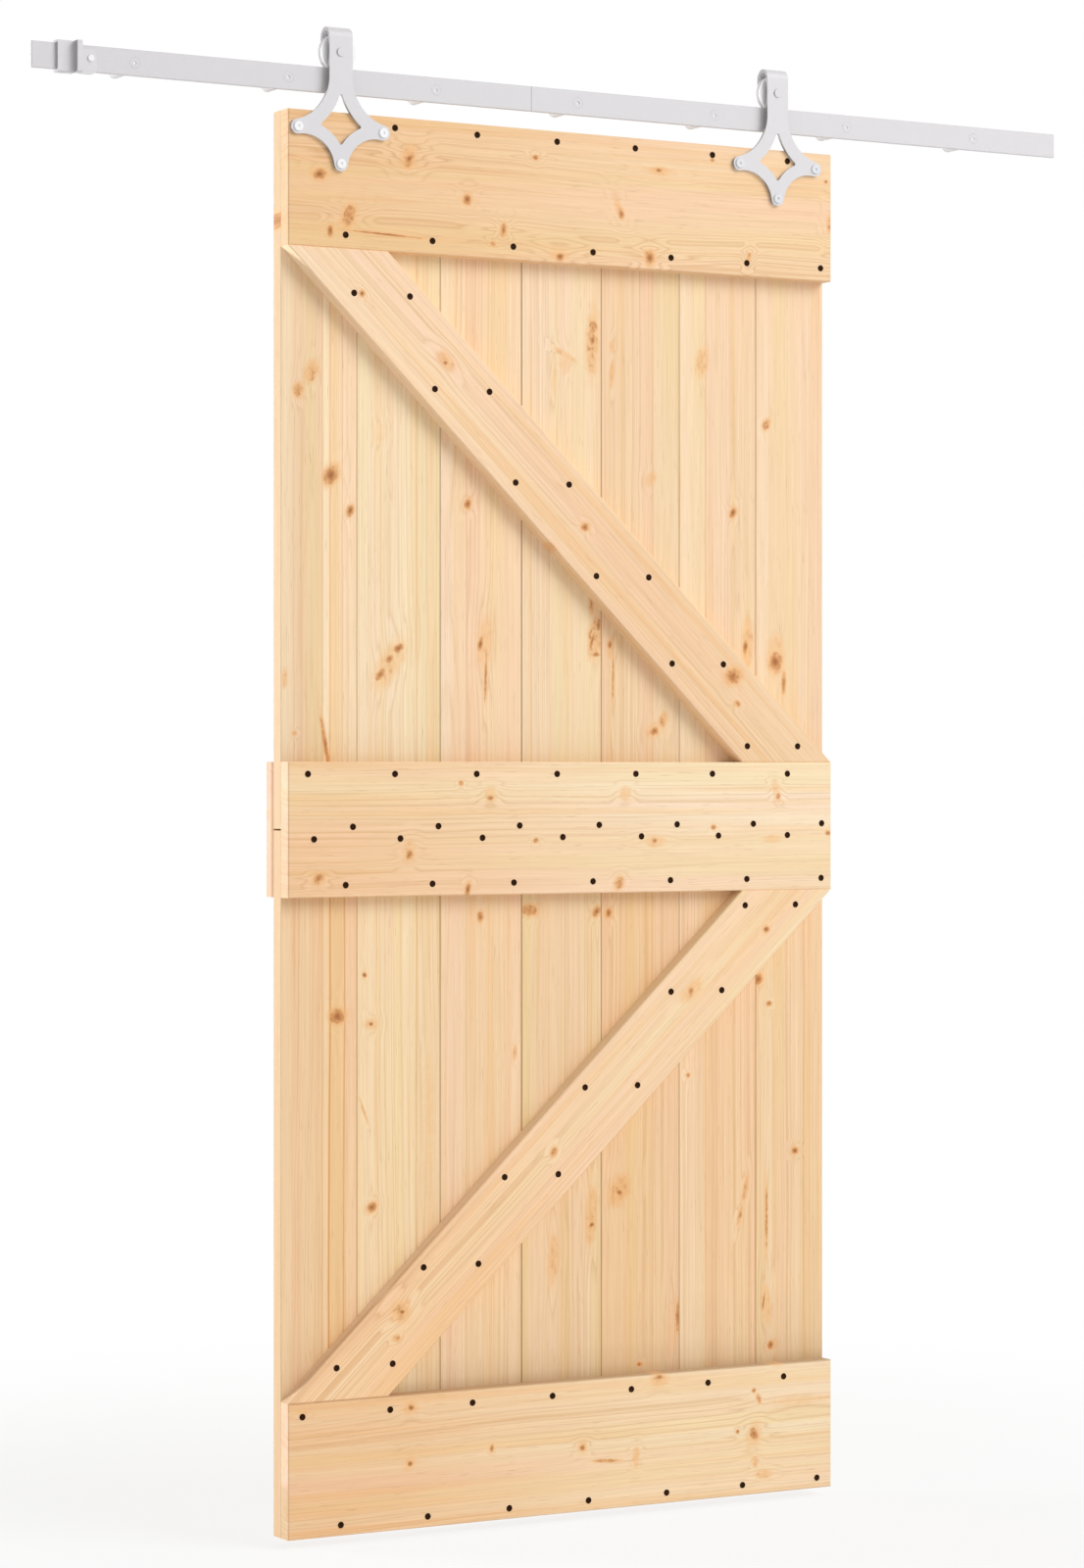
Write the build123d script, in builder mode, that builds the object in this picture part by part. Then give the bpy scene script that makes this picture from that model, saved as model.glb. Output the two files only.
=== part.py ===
import os
from math import sqrt

from build123d import *

# A planked door that hangs from two strap hangers and rolls on a flat bar track.
# Millimetres, X along the track, Y towards the wall, Z up.
# The origin is the wall face of the middle track spacer.

# Leaf
door_width = 950
door_height = 2100
board_thickness = 25
board_count = 7
outer_board_width = 125
board_end_gap = 2.5
board_chamfer = 0.8
rail_chamfer = 1.5
tongue_thickness = 8
tongue_length = 8
tongue_clearance = 0.2
rail_height = 200
rail_thickness = 25
middle_rail_foot = 942
brace_cut = 165

# Track, its spacers and its wall bolts
track_length = 1790
track_height = 38
track_thickness = 6
track_chamfer = 0.8
track_seam = -82
wall_bolt_pitch = 245
wall_bolt_count = 7
wall_bolt_radius = 4
wall_bolt_head_radius = 8
wall_bolt_key = 5
wall_bolt_key_depth = 2
wall_thread_radius = 3.6
wall_thread_length = 14
wall_thread_chamfer = 1
spacer_length = 70
spacer_radius = 12
spacer_chamfer = 1

# Grooved wheels on their axle bolts
wheel_radius = 28
groove_radius = 22
groove_side_clearance = 0.75
rim_width = 13
rim_chamfer = 1.5
web_recess = 1.5
rim_wall = 5
hub_radius = 10
axle_radius = 5
axle_head_radius = 7
axle_head_height = 1.8
axle_head_chamfer = 0.8
axle_nut_flats = 16
axle_nut_height = 7
bolt_end_length = 2
rolling_gap = 0.3
running_fit = 0.05
hub_gap = 0.3

# Strap hangers with their star plates
strap_width = 38
strap_thickness = 5
strap_gap = 20
bend_clearance = 5
left_hanger_inset = 84
right_hanger_inset = 103
door_drop = 28
arm_depth = 26
arm_reach = 70
foot_reach = 50.5
tip_radius = 11
upper_arc_radius = 70
lower_arc_radius = 49
arm_band = 21
foot_band = 19.5
window_round = 3
hanger_bolt_radius = 4
hanger_head_radius = 7.5
hanger_head_height = 2
hanger_head_chamfer = 0.8
hanger_key = 4
hanger_key_depth = 1.2
hanger_nut_flats = 13
hanger_nut_height = 6.5
bolt_hole_clearance = 0.25
thread_clearance = 0.05

# End stop clipped on the left end of the track
stop_inset = 38
clip_length = 26
clip_lip = 4
clip_front = 5
clip_back = 5
clip_hook = 8
stop_plate_thickness = 8
stop_plate_reach = 16
stop_round = 3
ear_length = 26
ear_thickness = 5
ear_drop = 6
ear_round = 9
stop_bolt_inset = 9
stop_bolt_radius = 3
stop_head_radius = 5
stop_head_height = 2
stop_head_chamfer = 0.8

# Where the leaf hangs between the ends of the track
leaf_rest_x = -19

# Planes that follow from the sizes above
track_back = -spacer_length
track_middle = track_back - track_thickness / 2
track_front = track_back - track_thickness
track_top = track_height / 2
leaf_front = track_middle - strap_gap / 2
strap_front = leaf_front - strap_thickness
back_leg_front = track_middle + strap_gap / 2
back_leg_back = back_leg_front + strap_thickness
board_front = leaf_front + rail_thickness
board_back = board_front + board_thickness
leaf_top = -track_top - door_drop
leaf_foot = leaf_top - door_height
leaf_left = leaf_rest_x - door_width / 2
leaf_right = leaf_rest_x + door_width / 2
middle_foot = leaf_foot + middle_rail_foot
middle_top = middle_foot + rail_height
board_joint = (middle_foot + middle_top) / 2
inner_board_width = (door_width - 2 * outer_board_width) / (board_count - 2)
axle_height = track_top + rolling_gap + groove_radius
arm_height = leaf_top - arm_depth
bend_radius = strap_gap / 2
bend_height = axle_height + wheel_radius + bend_clearance - bend_radius
hanger_places = {"left": leaf_left + left_hanger_inset, "right": leaf_right - right_hanger_inset}
hanger_bolt_places = {
    side: [(x - arm_reach, arm_height), (x + arm_reach, arm_height), (x, arm_height - foot_reach)]
    for side, x in hanger_places.items()
}
all_bolt_places = hanger_bolt_places["left"] + hanger_bolt_places["right"]
hanger_hole_radius = hanger_bolt_radius + bolt_hole_clearance
wall_bolt_first = -wall_bolt_pitch * (wall_bolt_count - 1) / 2
wall_bolt_places = [(wall_bolt_first + i * wall_bolt_pitch, 0) for i in range(wall_bolt_count)]
stop_left = -track_length / 2 + stop_inset
plate_left = stop_left + clip_length
ear_left = plate_left + stop_plate_thickness
ear_right = ear_left + ear_length
stop_bolt_x = ear_right - stop_bolt_inset


def facing(y, x=0, z=0):
    """An upright plane at depth y that faces the front, with local x along X and local y up."""
    return Plane(origin=(x, y, z), x_dir=(1, 0, 0), z_dir=(0, -1, 0))


def profile_across(x, y=0, z=0):
    """An upright plane across the track at x, with local x towards the wall and local y up."""
    return Plane(origin=(x, y, z), x_dir=(0, 1, 0), z_dir=(1, 0, 0))


def on_circle(centre, target, radius):
    """The point of a circle that lies towards a target."""
    return centre + (target - centre).normalized() * radius


def hollow_arc(centre, radius, start, end):
    """The shorter arc about a centre, from start to end."""
    middle = on_circle(centre, (start + end) / 2, radius)
    return ThreePointArc(start, middle, end)


os.makedirs("parts", exist_ok=True)

# Boards: two tiers of tongued and grooved planks that meet behind the middle rails
board_tiers = {
    "upper": (board_joint + board_end_gap / 2, leaf_top),
    "lower": (leaf_foot, board_joint - board_end_gap / 2),
}
for tier, (foot, top) in board_tiers.items():
    board_left = leaf_left
    for number in range(1, board_count + 1):
        first, last = number == 1, number == board_count
        board_width = outer_board_width if first or last else inner_board_width
        board_right = board_left + board_width
        with BuildPart() as board:
            with BuildSketch(Plane.XY.offset(foot)) as board_section:
                with Locations(((board_left + board_right) / 2, (board_front + board_back) / 2)):
                    Rectangle(board_width, board_thickness)
                chamfer(board_section.vertices(), board_chamfer)
                if not last:
                    with Locations((board_right, (board_front + board_back) / 2)):
                        Rectangle(2 * tongue_length, tongue_thickness)
                if not first:
                    with Locations((board_left, (board_front + board_back) / 2)):
                        Rectangle(
                            2 * (tongue_length + tongue_clearance),
                            tongue_thickness + 2 * tongue_clearance,
                            mode=Mode.SUBTRACT,
                        )
            extrude(amount=top - foot)
            if tier == "upper":
                with BuildSketch(facing(board_back)):
                    with Locations(*all_bolt_places):
                        Circle(hanger_hole_radius)
                extrude(amount=board_thickness, mode=Mode.SUBTRACT)
        board.part.label = f"{tier}_board_{number}"
        export_step(board.part, f"parts/{tier}_board_{number}.step")
        board_left = board_right

# Rails across the boards: three on the front and one behind the boards' joint
rail_places = {
    "top_rail": (board_front, leaf_top - rail_height),
    "middle_rail_front": (board_front, middle_foot),
    "middle_rail_back": (board_back + rail_thickness, middle_foot),
    "bottom_rail": (board_front, leaf_foot),
}
for name, (back, foot) in rail_places.items():
    with BuildPart() as rail:
        with BuildSketch(facing(back, leaf_rest_x, foot)):
            Rectangle(door_width, rail_height, align=(Align.CENTER, Align.MIN))
        extrude(amount=rail_thickness)
        outer_face = rail.faces().sort_by(Axis.Y)[-1 if name == "middle_rail_back" else 0]
        chamfer(outer_face.edges(), rail_chamfer)
        if name == "top_rail":
            with BuildSketch(facing(board_front)):
                with Locations(*all_bolt_places):
                    Circle(hanger_hole_radius)
            extrude(amount=rail_thickness, mode=Mode.SUBTRACT)
    rail.part.label = name
    export_step(rail.part, f"parts/{name}.step")

# Braces: from the left ends of the top and bottom rails to the right end of the middle rail
brace_ends = {
    "upper_brace": (leaf_top - rail_height, middle_top),
    "lower_brace": (leaf_foot + rail_height, middle_foot),
}
for name, (far, near) in brace_ends.items():
    with BuildPart() as brace:
        with BuildSketch(facing(board_front)):
            with BuildLine():
                Polyline(
                    (leaf_left, far),
                    (leaf_left + brace_cut, far),
                    (leaf_right, near),
                    (leaf_right - brace_cut, near),
                    close=True,
                )
            make_face()
        extrude(amount=rail_thickness)
        chamfer(brace.faces().sort_by(Axis.Y)[0].edges(), rail_chamfer)
    brace.part.label = name
    export_step(brace.part, f"parts/{name}.step")

# Strap hangers: a star plate on the top rail, a strap, a bend over the wheel and a short back leg
half_strap = strap_width / 2
side_tip = Vector(arm_reach, 0)
foot_tip = Vector(0, -foot_reach)
upper_centre_x = half_strap + upper_arc_radius
upper_centre = Vector(
    upper_centre_x,
    sqrt((upper_arc_radius + tip_radius) ** 2 - (upper_centre_x - arm_reach) ** 2),
)
tip_span = side_tip - foot_tip
lower_rise = sqrt((lower_arc_radius + tip_radius) ** 2 - (tip_span.length / 2) ** 2)
lower_centre = (side_tip + foot_tip) / 2 + Vector(tip_span.Y, -tip_span.X).normalized() * lower_rise
upper_band_radius = upper_arc_radius + arm_band
lower_band_radius = lower_arc_radius + foot_band
strap_top = Vector(half_strap, bend_height - arm_height)
strap_foot = Vector(half_strap, upper_centre.Y)
side_start = on_circle(side_tip, upper_centre, tip_radius)
side_end = on_circle(side_tip, lower_centre, tip_radius)
foot_start = on_circle(foot_tip, lower_centre, tip_radius)
foot_end = foot_tip - Vector(0, tip_radius)
foot_middle = on_circle(foot_tip, foot_start + foot_end - foot_tip, tip_radius)
axle_hole_radius = axle_radius + bolt_hole_clearance

for side, hanger_x in hanger_places.items():
    star_plane = facing(leaf_front, hanger_x, arm_height)
    with BuildPart() as hanger_strap:
        with BuildSketch(star_plane):
            with BuildLine():
                Line((0, strap_top.Y), strap_top)
                Line(strap_top, strap_foot)
                hollow_arc(upper_centre, upper_arc_radius, strap_foot, side_start)
                ThreePointArc(side_start, side_tip + Vector(tip_radius, 0), side_end)
                hollow_arc(lower_centre, lower_arc_radius, side_end, foot_start)
                ThreePointArc(foot_start, foot_middle, foot_end)
                mirror(about=Plane.YZ)
            make_face()
            with Locations(side_tip, (-side_tip.X, 0), foot_tip):
                Circle(hanger_hole_radius, mode=Mode.SUBTRACT)
            with Locations((0, axle_height - arm_height)):
                Circle(axle_hole_radius, mode=Mode.SUBTRACT)
        extrude(amount=strap_thickness)
        with BuildSketch(star_plane, mode=Mode.PRIVATE) as window:
            Rectangle(2 * arm_reach, 2 * arm_reach)
            with Locations(upper_centre, (-upper_centre.X, upper_centre.Y)):
                Circle(upper_band_radius, mode=Mode.SUBTRACT)
            with Locations(lower_centre, (-lower_centre.X, lower_centre.Y)):
                Circle(lower_band_radius, mode=Mode.SUBTRACT)
        star_opening = window.sketch.faces().sort_by_distance(star_plane.origin)[0]
        extrude(star_opening, amount=strap_thickness, dir=star_plane.z_dir, mode=Mode.SUBTRACT)
        fillet(hanger_strap.edges(Select.LAST).filter_by(Axis.Y), window_round)
        with BuildSketch(profile_across(hanger_x, track_middle, bend_height)):
            Circle(bend_radius + strap_thickness)
            Circle(bend_radius, mode=Mode.SUBTRACT)
            Rectangle(
                2 * (bend_radius + strap_thickness),
                bend_radius + strap_thickness,
                align=(Align.CENTER, Align.MAX),
                mode=Mode.SUBTRACT,
            )
        extrude(amount=half_strap, both=True)
        with BuildSketch(facing(back_leg_back, hanger_x, axle_height)):
            Circle(half_strap)
            Rectangle(strap_width, bend_height - axle_height, align=(Align.CENTER, Align.MIN))
            Circle(axle_hole_radius, mode=Mode.SUBTRACT)
        extrude(amount=strap_thickness)
    hanger_strap.part.label = f"{side}_hanger_strap"
    export_step(hanger_strap.part, f"parts/{side}_hanger_strap.step")

    # Bolts through the star plate, the top rail and the boards, with a nut on the back of each
    with BuildPart() as hanger_bolts:
        with BuildSketch(facing(strap_front)):
            with Locations(*hanger_bolt_places[side]):
                Circle(hanger_head_radius)
        extrude(amount=hanger_head_height)
        chamfer(hanger_bolts.edges().group_by(Axis.Y)[0], hanger_head_chamfer)
        with BuildSketch(facing(board_back + hanger_nut_height + bolt_end_length)):
            with Locations(*hanger_bolt_places[side]):
                Circle(hanger_bolt_radius)
        extrude(until=Until.NEXT)
        with BuildSketch(facing(strap_front - hanger_head_height)):
            with Locations(*hanger_bolt_places[side]):
                RegularPolygon(hanger_key / 2, side_count=6, major_radius=False)
        extrude(amount=-hanger_key_depth, mode=Mode.SUBTRACT)
    hanger_bolts.part.label = f"{side}_hanger_bolts"
    export_step(hanger_bolts.part, f"parts/{side}_hanger_bolts.step")

    with BuildPart() as hanger_nuts:
        with BuildSketch(facing(board_back + hanger_nut_height)):
            with Locations(*hanger_bolt_places[side]):
                RegularPolygon(hanger_nut_flats / 2, side_count=6, major_radius=False)
                Circle(hanger_bolt_radius + thread_clearance, mode=Mode.SUBTRACT)
        extrude(amount=hanger_nut_height)
    hanger_nuts.part.label = f"{side}_hanger_nuts"
    export_step(hanger_nuts.part, f"parts/{side}_hanger_nuts.step")

    # Wheel: a grooved rim, a thinner web and a hub that fills the gap between the strap's legs
    axle_line = Axis((hanger_x, track_middle, axle_height), (0, 1, 0))
    half_groove = track_thickness / 2 + groove_side_clearance
    half_hub = strap_gap / 2 - hub_gap
    half_web = rim_width / 2 - web_recess
    with BuildPart() as wheel:
        with BuildSketch(profile_across(hanger_x, track_middle, axle_height)) as wheel_section:
            with BuildLine():
                Polyline(
                    (0, axle_radius + running_fit),
                    (half_hub, axle_radius + running_fit),
                    (half_hub, hub_radius),
                    (half_web, hub_radius),
                    (half_web, groove_radius - rim_wall),
                    (rim_width / 2, groove_radius - rim_wall),
                    (rim_width / 2, wheel_radius),
                    (half_groove, wheel_radius),
                    (half_groove, groove_radius),
                    (0, groove_radius),
                )
                mirror(about=Plane.YZ)
            make_face()
            outer_corners = wheel_section.vertices().group_by(Axis.Z)[-1].sort_by(Axis.Y)
            chamfer([outer_corners[0], outer_corners[-1]], rim_chamfer)
        revolve(axis=axle_line)
    wheel.part.label = f"{side}_wheel"
    export_step(wheel.part, f"parts/{side}_wheel.step")

    # Axle bolt through both legs of the strap, with its nut behind the back leg
    with BuildPart() as axle_bolt:
        with BuildSketch(facing(strap_front, hanger_x, axle_height)):
            Circle(axle_head_radius)
        extrude(amount=axle_head_height)
        chamfer(axle_bolt.edges().group_by(Axis.Y)[0], axle_head_chamfer)
        with BuildSketch(facing(back_leg_back + axle_nut_height + bolt_end_length, hanger_x, axle_height)):
            Circle(axle_radius)
        extrude(until=Until.NEXT)
    axle_bolt.part.label = f"{side}_axle_bolt"
    export_step(axle_bolt.part, f"parts/{side}_axle_bolt.step")

    with BuildPart() as axle_nut:
        with BuildSketch(facing(back_leg_back + axle_nut_height, hanger_x, axle_height)):
            RegularPolygon(axle_nut_flats / 2, side_count=6, major_radius=False)
            Circle(axle_radius + thread_clearance, mode=Mode.SUBTRACT)
        extrude(amount=axle_nut_height)
    axle_nut.part.label = f"{side}_axle_nut"
    export_step(axle_nut.part, f"parts/{side}_axle_nut.step")

# Track: two lengths of flat bar end to end, countersunk for the wall bolts
wall_hole_radius = wall_bolt_radius + bolt_hole_clearance
track_spans = {
    "track_left": (-track_length / 2, track_seam),
    "track_right": (track_seam, track_length / 2),
}
for name, (start, end) in track_spans.items():
    with BuildPart(facing(track_front)) as track:
        with BuildSketch(facing(track_back, (start + end) / 2)):
            Rectangle(end - start, track_height)
        extrude(amount=track_thickness)
        chamfer(track.edges(), track_chamfer)
        with Locations(*[(x, z) for x, z in wall_bolt_places if start < x < end]):
            CounterSinkHole(wall_hole_radius, wall_bolt_head_radius + bolt_hole_clearance, counter_sink_angle=90)
        if name == "track_left":
            with Locations((stop_bolt_x, 0)):
                Hole(stop_bolt_radius + bolt_hole_clearance)
    track.part.label = name
    export_step(track.part, f"parts/{name}.step")

# Spacers: tubes that hold the track off the wall
with BuildPart() as wall_spacers:
    with BuildSketch(facing(0)):
        with Locations(*wall_bolt_places):
            Circle(spacer_radius)
    extrude(amount=spacer_length)
    chamfer(wall_spacers.edges(), spacer_chamfer)
    with BuildSketch(facing(0)):
        with Locations(*wall_bolt_places):
            Circle(wall_hole_radius)
    extrude(amount=spacer_length, mode=Mode.SUBTRACT)
wall_spacers.part.label = "wall_spacers"
export_step(wall_spacers.part, "parts/wall_spacers.step")

# Wall bolts: flat heads flush with the track, plain shanks and threads that go into wall anchors
head_depth = wall_bolt_head_radius - wall_bolt_radius
with BuildPart(facing(track_front)) as wall_bolts:
    with Locations(*wall_bolt_places):
        Cone(
            wall_bolt_radius,
            wall_bolt_head_radius,
            head_depth,
            align=(Align.CENTER, Align.CENTER, Align.MAX),
        )
    with BuildSketch(facing(0)):
        with Locations(*wall_bolt_places):
            Circle(wall_bolt_radius)
    extrude(amount=spacer_length + track_thickness - head_depth)
    with BuildSketch(facing(wall_thread_length)):
        with Locations(*wall_bolt_places):
            Circle(wall_thread_radius)
    extrude(amount=wall_thread_length)
    with Locations(*[(x, z, track_front - wall_thread_length) for x, z in wall_bolt_places]):
        Cone(
            wall_thread_radius - wall_thread_chamfer,
            wall_thread_radius,
            wall_thread_chamfer,
            align=(Align.CENTER, Align.CENTER, Align.MAX),
        )
    with BuildSketch(facing(track_front)):
        with Locations(*wall_bolt_places):
            RegularPolygon(wall_bolt_key / 2, side_count=6, major_radius=False)
    extrude(amount=-wall_bolt_key_depth, mode=Mode.SUBTRACT)
wall_bolts.part.label = "wall_bolts"
export_step(wall_bolts.part, "parts/wall_bolts.step")

# End stop: a clip round the bar, an upright plate that meets the hanger, and an ear with its bolt
clip_height = track_height + 2 * clip_lip
with BuildPart() as end_stop:
    with BuildSketch(profile_across(stop_left)) as clip_section:
        with Locations((track_back + clip_back, 0)):
            Rectangle(clip_back + track_thickness + clip_front, clip_height, align=(Align.MAX, Align.CENTER))
        fillet(clip_section.vertices(), stop_round)
        with Locations((track_back, 0)):
            Rectangle(track_thickness, track_height, align=(Align.MAX, Align.CENTER), mode=Mode.SUBTRACT)
            Rectangle(
                clip_back,
                track_height - 2 * clip_hook,
                align=(Align.MIN, Align.CENTER),
                mode=Mode.SUBTRACT,
            )
    extrude(amount=clip_length)
    with BuildSketch(profile_across(plate_left)) as plate_section:
        with Locations((track_front, 0)):
            Rectangle(stop_plate_reach, clip_height, align=(Align.MAX, Align.CENTER))
        fillet(plate_section.vertices().group_by(Axis.Y)[0], stop_round)
    extrude(amount=stop_plate_thickness)
    with BuildSketch(facing(track_front)) as ear_outline:
        with Locations((ear_left, -clip_height / 2)):
            Rectangle(ear_length, clip_height - clip_lip - ear_drop, align=(Align.MIN, Align.MIN))
        fillet(ear_outline.vertices().group_by(Axis.X)[-1], ear_round)
        with Locations((stop_bolt_x, 0)):
            Circle(stop_bolt_radius + bolt_hole_clearance, mode=Mode.SUBTRACT)
    extrude(amount=ear_thickness)
end_stop.part.label = "end_stop"
export_step(end_stop.part, "parts/end_stop.step")

with BuildPart() as end_stop_bolt:
    with BuildSketch(facing(track_front - ear_thickness, stop_bolt_x)):
        Circle(stop_head_radius)
    extrude(amount=stop_head_height)
    chamfer(end_stop_bolt.edges().group_by(Axis.Y)[0], stop_head_chamfer)
    with BuildSketch(facing(track_back, stop_bolt_x)):
        Circle(stop_bolt_radius)
    extrude(until=Until.NEXT)
end_stop_bolt.part.label = "end_stop_bolt"
export_step(end_stop_bolt.part, "parts/end_stop_bolt.step")
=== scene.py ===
import math

import bmesh
import bpy
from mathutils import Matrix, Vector


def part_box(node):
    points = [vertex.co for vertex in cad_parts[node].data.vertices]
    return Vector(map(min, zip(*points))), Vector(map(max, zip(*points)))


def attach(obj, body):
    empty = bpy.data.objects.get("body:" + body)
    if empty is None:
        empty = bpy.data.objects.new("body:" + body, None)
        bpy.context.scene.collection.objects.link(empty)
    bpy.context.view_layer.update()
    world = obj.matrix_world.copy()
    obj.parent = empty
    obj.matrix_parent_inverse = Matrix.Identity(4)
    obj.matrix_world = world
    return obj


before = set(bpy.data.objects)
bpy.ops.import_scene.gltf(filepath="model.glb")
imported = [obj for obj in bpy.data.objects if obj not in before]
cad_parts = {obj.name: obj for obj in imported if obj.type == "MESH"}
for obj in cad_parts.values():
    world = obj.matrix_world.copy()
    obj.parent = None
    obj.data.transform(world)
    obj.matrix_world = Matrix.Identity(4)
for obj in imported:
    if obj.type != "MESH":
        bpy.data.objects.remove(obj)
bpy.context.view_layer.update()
scene = bpy.context.scene
scene.view_settings.view_transform = "Standard"
mm = 0.001

# the door's lower left front corner, which knots and screws are measured from
doorLeft, doorFront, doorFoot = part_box("bottom_rail")[0]
print("frame loaded:", len(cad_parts), "pieces")


# small helpers for the shader trees

def newMaterial(name):
    mat = bpy.data.materials.new(name)
    mat.use_nodes = True
    tree = mat.node_tree
    return mat, tree, tree.nodes["Principled BSDF"]


def feed(tree, socket, value):
    if isinstance(value, bpy.types.NodeSocket):
        tree.links.new(value, socket)
    else:
        socket.default_value = value


def mathStep(tree, operation, *values, clamp=False):
    node = tree.nodes.new("ShaderNodeMath")
    node.operation = operation
    node.use_clamp = clamp
    for socket, value in zip(node.inputs, values):
        feed(tree, socket, value)
    return node.outputs[0]


def mapCoords(tree, vector, kind="POINT", place=(0, 0, 0), turn=(0, 0, 0), scale=(1, 1, 1)):
    node = tree.nodes.new("ShaderNodeMapping")
    node.vector_type = kind
    feed(tree, node.inputs["Vector"], vector)
    node.inputs["Location"].default_value = place
    node.inputs["Rotation"].default_value = turn
    node.inputs["Scale"].default_value = scale
    return node.outputs[0]


def splitVector(tree, vector):
    node = tree.nodes.new("ShaderNodeSeparateXYZ")
    feed(tree, node.inputs[0], vector)
    return node.outputs


def noiseAt(tree, vector, scale, place, detail, roughness=0.5):
    node = tree.nodes.new("ShaderNodeTexNoise")
    feed(tree, node.inputs["Vector"], mapCoords(tree, vector, place=place, scale=scale))
    node.inputs["Scale"].default_value = 1.0
    node.inputs["Detail"].default_value = detail
    node.inputs["Roughness"].default_value = roughness
    return node.outputs["Fac"]


def remap(tree, value, fromLow, fromHigh, toLow=0.0, toHigh=1.0, smooth=True):
    node = tree.nodes.new("ShaderNodeMapRange")
    node.interpolation_type = "SMOOTHSTEP" if smooth else "LINEAR"
    for socket, number in zip(node.inputs, (value, fromLow, fromHigh, toLow, toHigh)):
        feed(tree, socket, number)
    return node.outputs[0]


def rampOf(tree, value, stops):
    node = tree.nodes.new("ShaderNodeValToRGB")
    feed(tree, node.inputs[0], value)
    points = node.color_ramp.elements
    while len(points) < len(stops):
        points.new(0.5)
    for point, (place, colour) in zip(points, stops):
        point.position = place
        point.color = (*colour, 1)
    return node.outputs[0]


def mixColour(tree, factor, first, second, blend="MIX"):
    node = tree.nodes.new("ShaderNodeMix")
    node.data_type = "RGBA"
    node.blend_type = blend
    for number, value in ((0, factor), (6, first), (7, second)):
        if isinstance(value, tuple):
            value = (*value, 1)
        feed(tree, node.inputs[number], value)
    return node.outputs[2]


def addBump(tree, shader, height, distance, strength):
    node = tree.nodes.new("ShaderNodeBump")
    node.inputs["Strength"].default_value = strength
    node.inputs["Distance"].default_value = distance
    feed(tree, node.inputs["Height"], height)
    feed(tree, shader.inputs["Normal"], node.outputs[0])


def dress(node, mat):
    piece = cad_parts[node]
    piece.data.materials.clear()
    piece.data.materials.append(mat)


# pine: tones given as a share are multiplied with the piece's own tone
pineLook = {
    "late": (0.83, 0.71, 0.58),         # latewood lines, a share
    "pink": (1.015, 0.965, 1.02),       # broad bands, shares
    "straw": (0.98, 0.99, 0.89),
    "cream": (1.03, 1.06, 1.12),
    "orange": (0.985, 0.89, 0.77),      # narrow streaks, shares
    "vein": (0.83, 0.56, 0.32),
    "fibre": (0.92, 0.885, 0.84),       # a share
    "fleck": (0.55, 0.29, 0.12),
    "resin": (0.74, 0.37, 0.13),        # in the joint of two glued strips
    "seam": (0.30, 0.16, 0.07),         # where two boards meet
    "palest": 0.98,                     # no share makes a tone paler than this
    "roughness": (0.48, 0.62),          # on latewood and between
    "specular": 0.35,
    "relief": (0.12, 0.6),              # mm and strength of the fibres' bump
    "wave": 14,                         # mm that the year rings sway
    "slant": 0.012,                     # slope of the pith along the piece
    "drift": 0.06,                      # m that the pith wanders
    "unevenRings": 3.2,                 # years
    "bow": (4.5, 1.4),                  # a knot's reach in its own radii, and the years it pushes aside
    "stripJump": (1.7, 0.031, 0.012),   # m to where a glued strip takes its grain
    "streakSway": 6,                    # mm
    "jointLine": (0.6, 2.2, 0.3),       # mm from the joint where it is full and gone, amount
    "seamLine": (1.6, 0.5),             # mm from the edge where it starts and is full
    "upperFade": 20,                    # mm on either side of the middle
    "footShadeHeight": 125,                 # mm above the rail below that the painted shade on the boards reaches
    # painted shade on the boards' front above a rail, by height above it
    "footShadeRamp": ((0.0, (0.70, 0.69, 0.67)), (0.14, (0.86, 0.85, 0.84)), (0.4, (0.95, 0.95, 0.95)),
              (1.0, (1, 1, 1))),
}

# knots are (x, z, half length, half width, turn, strength), in mm and degrees from the door's corner
knotLook = {
    "heart": (0.20, 0.06, 0.014),
    "wood": (0.43, 0.145, 0.03),
    "rim": (0.64, 0.26, 0.07),
    "halo": (0.84, 0.42, 0.16),
    "stain": (0.96, 0.78, 0.55),        # round the knot, a share
    "paler": 2.6, "palerCurve": 1.3,    # how a weak knot pales
    "coreMost": 0.85,
    "tailFrom": (0.65, 2),              # a stronger and wider knot is drawn out along the grain
    "tailSize": (4.5, 0.35),            # half length and half width, in the knot's half widths
    "tailPaler": 0.9,
    "melt": 0.15,                       # how far close knots run together
}


def toned(tone, share):
    return tuple(min(a * b, pineLook["palest"]) for a, b in zip(tone, share))


def ovalField(tree, grain, place, turn, halfLong, halfWide):
    oval = mapCoords(tree, grain, "TEXTURE", place, (0, 0, turn), (halfLong * mm, halfWide * mm, 1))
    length = tree.nodes.new("ShaderNodeVectorMath")
    length.operation = "LENGTH"
    feed(tree, length.inputs[0], oval)
    return length.outputs["Value"]


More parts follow.
